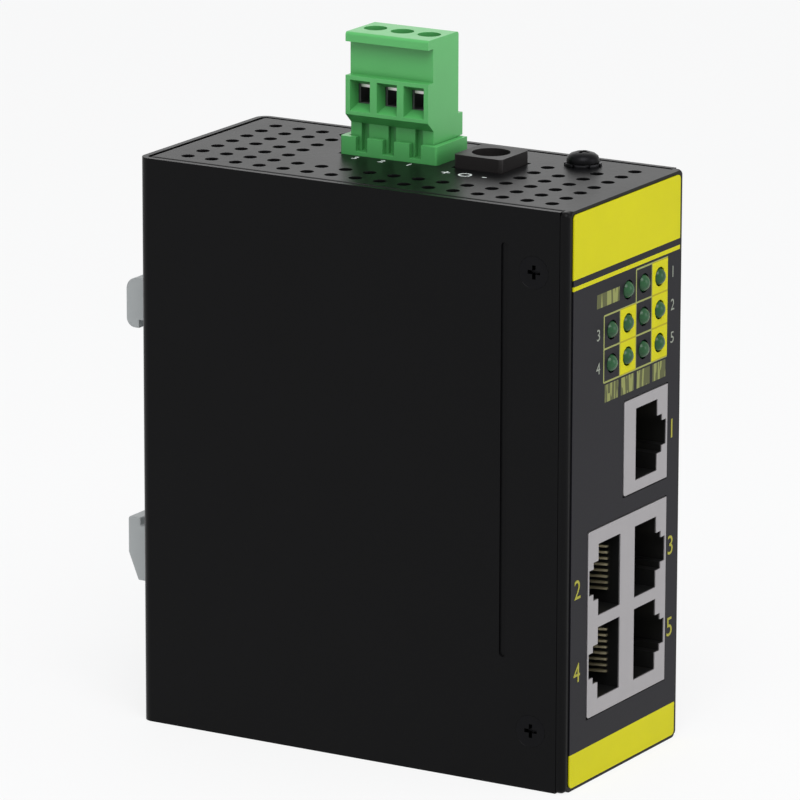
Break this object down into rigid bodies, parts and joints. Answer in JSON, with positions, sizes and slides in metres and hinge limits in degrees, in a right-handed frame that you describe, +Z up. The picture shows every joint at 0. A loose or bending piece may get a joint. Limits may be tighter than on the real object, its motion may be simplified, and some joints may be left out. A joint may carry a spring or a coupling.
{
  "type": "DIN rail ethernet switch",
  "caption": "Network switch in a folded steel case: keyed sockets and lamps on the front, pull-off screw terminal and round power socket on top, and a spring-latched rail clip on the back.",
  "frame": {"origin": "centre of the case's base, on the surface it stands on", "axes": "+Z up, -Y out of the port face, +Y towards the rail, +X towards the circuit board's side"},
  "size_m": [0.0386, 0.0894, 0.1165],
  "materials": {
    "case_paint": "satin black powder coat",
    "label_film": "printed film",
    "bright_steel": "zinc-plated, satin",
    "dark_steel": "black oxide",
    "tinned_sheet": "tinned, satin",
    "board_laminate": "solder resist",
    "socket_resin": "moulded",
    "gold_plate": "gilded",
    "lamp_resin": "tinted cast resin",
    "terminal_resin": "moulded",
    "black_resin": "moulded",
    "clip_resin": "moulded",
    "chip_resin": "moulded",
    "can_aluminium": "drawn",
    "tinned_wire": "tinned"
  },
  "bodies": {
    "root": {"chassis": "case_paint", "cover": "case_paint", "cover_screws": "dark_steel", "front_label": "label_film", "ground_screw": "dark_steel", "ground_washer": "bright_steel", "ground_nut": "bright_steel", "main_board": "board_laminate", "board_standoffs": "bright_steel", "board_screws": "bright_steel", "quad_shield": "tinned_sheet", "quad_socket_body": "socket_resin", "quad_contacts": "gold_plate", "single_shield": "tinned_sheet", "single_socket_body": "socket_resin", "single_contacts": "gold_plate", "lamps": "lamp_resin", "lamp_leads": "tinned_wire", "terminal_header": "terminal_resin", "header_pins": "tinned_wire", "power_socket": "black_resin", "power_pin": "bright_steel", "power_legs": "tinned_wire", "clip_base": "clip_resin", "latch_spring": "bright_steel", "clip_screws": "bright_steel", "clip_nuts": "bright_steel", "switch_chip": "chip_resin", "capacitor_1": "can_aluminium", "capacitor_2": "can_aluminium", "crystal": "bright_steel", "power_inductor": "chip_resin", "regulator": "chip_resin", "supply_fuse": "chip_resin", "input_diode": "chip_resin", "lamp_holder_1": "black_resin", "lamp_holder_2": "black_resin", "lamp_holder_3": "black_resin", "port_transformer_1": "chip_resin", "port_transformer_2": "chip_resin", "port_transformer_3": "chip_resin", "port_transformer_4": "chip_resin", "port_transformer_5": "chip_resin"},
    "latch": {"clip_latch": "clip_resin"},
    "plug": {"terminal_plug": "terminal_resin", "plug_contacts": "tinned_wire"},
    "screw_1": {"clamp_screw_1": "bright_steel"},
    "cage_1": {"clamp_cage_1": "bright_steel"},
    "screw_2": {"clamp_screw_2": "bright_steel"},
    "cage_2": {"clamp_cage_2": "bright_steel"},
    "screw_3": {"clamp_screw_3": "bright_steel"},
    "cage_3": {"clamp_cage_3": "bright_steel"}
  },
  "joints": [
    {"name": "latch_slide", "type": "slide", "parent": "root", "child": "latch", "axis": [0, 0, -1], "range_m": [0, 0.0035], "stiffness_N_per_m": 1500, "springref_m": -0.003, "deforming": ["latch_spring"]},
    {"name": "plug_pull", "type": "slide", "parent": "root", "child": "plug", "axis": [0, 0, 1], "range_m": [0, 0.012]},
    {"name": "clamp_screw_1_turn", "type": "hinge", "parent": "plug", "child": "screw_1", "pos_m": [0.0049, -0.00068, 0.114], "axis": [0, 0, -1], "range_deg": [0, 1440]},
    {"name": "clamp_cage_1_rise", "type": "slide", "parent": "plug", "child": "cage_1", "axis": [0, 0, 1], "range_m": [0, 0.002]},
    {"name": "clamp_screw_2_turn", "type": "hinge", "parent": "plug", "child": "screw_2", "pos_m": [0.0049, 0.0044, 0.114], "axis": [0, 0, -1], "range_deg": [0, 1440]},
    {"name": "clamp_cage_2_rise", "type": "slide", "parent": "plug", "child": "cage_2", "axis": [0, 0, 1], "range_m": [0, 0.002]},
    {"name": "clamp_screw_3_turn", "type": "hinge", "parent": "plug", "child": "screw_3", "pos_m": [0.0049, 0.00948, 0.114], "axis": [0, 0, -1], "range_deg": [0, 1440]},
    {"name": "clamp_cage_3_rise", "type": "slide", "parent": "plug", "child": "cage_3", "axis": [0, 0, 1], "range_m": [0, 0.002]}
  ],
  "couplings": [
    {"joint": "clamp_screw_1_turn", "follows": "clamp_cage_1_rise", "rad_per_m": 12566},
    {"joint": "clamp_screw_2_turn", "follows": "clamp_cage_2_rise", "rad_per_m": 12566},
    {"joint": "clamp_screw_3_turn", "follows": "clamp_cage_3_rise", "rad_per_m": 12566}
  ]
}
